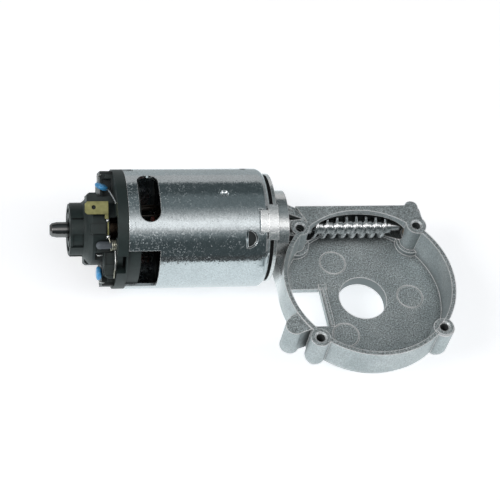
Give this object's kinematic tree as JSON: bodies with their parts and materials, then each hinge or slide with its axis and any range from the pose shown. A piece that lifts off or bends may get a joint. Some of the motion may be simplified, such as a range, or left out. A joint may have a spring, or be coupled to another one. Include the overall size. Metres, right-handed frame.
{
  "type": "electric motor",
  "caption": "Brushed steel-can motor with a black end bell, driving a steel worm inside an open die-cast gear housing with a cover rim and an output bore.",
  "frame": {"origin": "on the axis of the output bore, level with the floor of the gear chamber", "axes": "+X along the motor shaft from the rear shaft stub towards the worm's end bush; +Z out of the open gear chamber, along the output bore; +Y from the output bore towards the worm"},
  "size_m": [0.1537, 0.0862, 0.0463],
  "materials": {
    "cast_zinc": "fine as-cast zinc-aluminium, matt silver grey",
    "galvanised_steel": "bright zinc-plated sheet with a fine spangle",
    "bearing_steel": "ground and polished",
    "shaft_steel": "ground",
    "spring_steel": "bright drawn",
    "screw_steel": "bright zinc plate",
    "sintered_bronze": "porous, oiled",
    "black_rubber": "matt",
    "ferrite": "dark grey, ground",
    "bell_plastic": "glass-filled phenolic, dark grey-green, satin",
    "cap_plastic": "satin",
    "guide_brass": "stamped, clean",
    "terminal_brass": "stamped, slightly dull",
    "carbon": "graphite grey, pressed",
    "choke_ferrite": "grey, fine-grained",
    "enamelled_wire": "enamelled copper, glossy",
    "blue_lacquer": "dipped epoxy, glossy blue",
    "tinned_wire": "tinned copper",
    "lamination_steel": "stacked sheets, dark",
    "winding_copper": "enamelled copper, varnished",
    "insulator_fibre": "red fibre",
    "hub_plastic": "brown phenolic",
    "commutator_copper": "turned copper",
    "washer_fibre": "pale fibre"
  },
  "bodies": {
    "motor_frame": {"gear_housing": "cast_zinc", "motor_can": "galvanised_steel", "mounting_gasket": "black_rubber", "motor_screws": "screw_steel", "worm_end_bush": "sintered_bronze", "front_bearing_outer_race": "bearing_steel", "rear_bearing_outer_race": "bearing_steel", "bearing_retainer": "spring_steel", "magnet_upper": "ferrite", "magnet_lower": "ferrite", "magnet_clips": "spring_steel", "end_bell": "bell_plastic", "brush_guide_upper": "guide_brass", "brush_guide_lower": "guide_brass", "brush_spring_upper": "spring_steel", "brush_spring_lower": "spring_steel", "brush_cap_upper": "cap_plastic", "brush_cap_lower": "cap_plastic", "terminal_upper": "terminal_brass", "terminal_lower": "terminal_brass", "choke_core_upper": "choke_ferrite", "choke_core_lower": "choke_ferrite", "choke_coil_upper": "enamelled_wire", "choke_coil_lower": "enamelled_wire", "disc_capacitor_upper": "blue_lacquer", "disc_capacitor_lower": "blue_lacquer", "capacitor_leads": "tinned_wire"},
    "rotor": {"armature_shaft": "shaft_steel", "worm": "shaft_steel", "armature_core": "lamination_steel", "armature_windings": "winding_copper", "slot_insulators": "insulator_fibre", "commutator_hub": "hub_plastic", "commutator_segments": "commutator_copper", "shaft_washers": "washer_fibre", "front_bearing_inner_race": "bearing_steel", "rear_bearing_inner_race": "bearing_steel"},
    "front_ball_cage": {"front_bearing_balls": "bearing_steel"},
    "rear_ball_cage": {"rear_bearing_balls": "bearing_steel"},
    "upper_brush": {"carbon_brush_upper": "carbon"},
    "lower_brush": {"carbon_brush_lower": "carbon"}
  },
  "joints": [
    {"name": "rotor_spin", "type": "hinge", "parent": "motor_frame", "child": "rotor", "pos_m": [0, 0.0295, 0.0062], "axis": [1, 0, 0], "continuous": true},
    {"name": "front_cage_spin", "type": "hinge", "parent": "motor_frame", "child": "front_ball_cage", "pos_m": [0, 0.0295, 0.0062], "axis": [1, 0, 0], "continuous": true},
    {"name": "rear_cage_spin", "type": "hinge", "parent": "motor_frame", "child": "rear_ball_cage", "pos_m": [0, 0.0295, 0.0062], "axis": [1, 0, 0], "continuous": true},
    {"name": "upper_brush_slide", "type": "slide", "parent": "motor_frame", "child": "upper_brush", "axis": [0, 0.866, 0.5], "range_m": [0, 0.003], "stiffness_N_per_m": 200, "springref_m": -0.005, "deforming": ["brush_spring_upper"]},
    {"name": "lower_brush_slide", "type": "slide", "parent": "motor_frame", "child": "lower_brush", "axis": [0, -0.866, -0.5], "range_m": [0, 0.003], "stiffness_N_per_m": 200, "springref_m": -0.005, "deforming": ["brush_spring_lower"]}
  ],
  "couplings": [
    {"joint": "front_cage_spin", "follows": "rotor_spin", "ratio": 0.319},
    {"joint": "rear_cage_spin", "follows": "rotor_spin", "ratio": 0.3465}
  ]
}
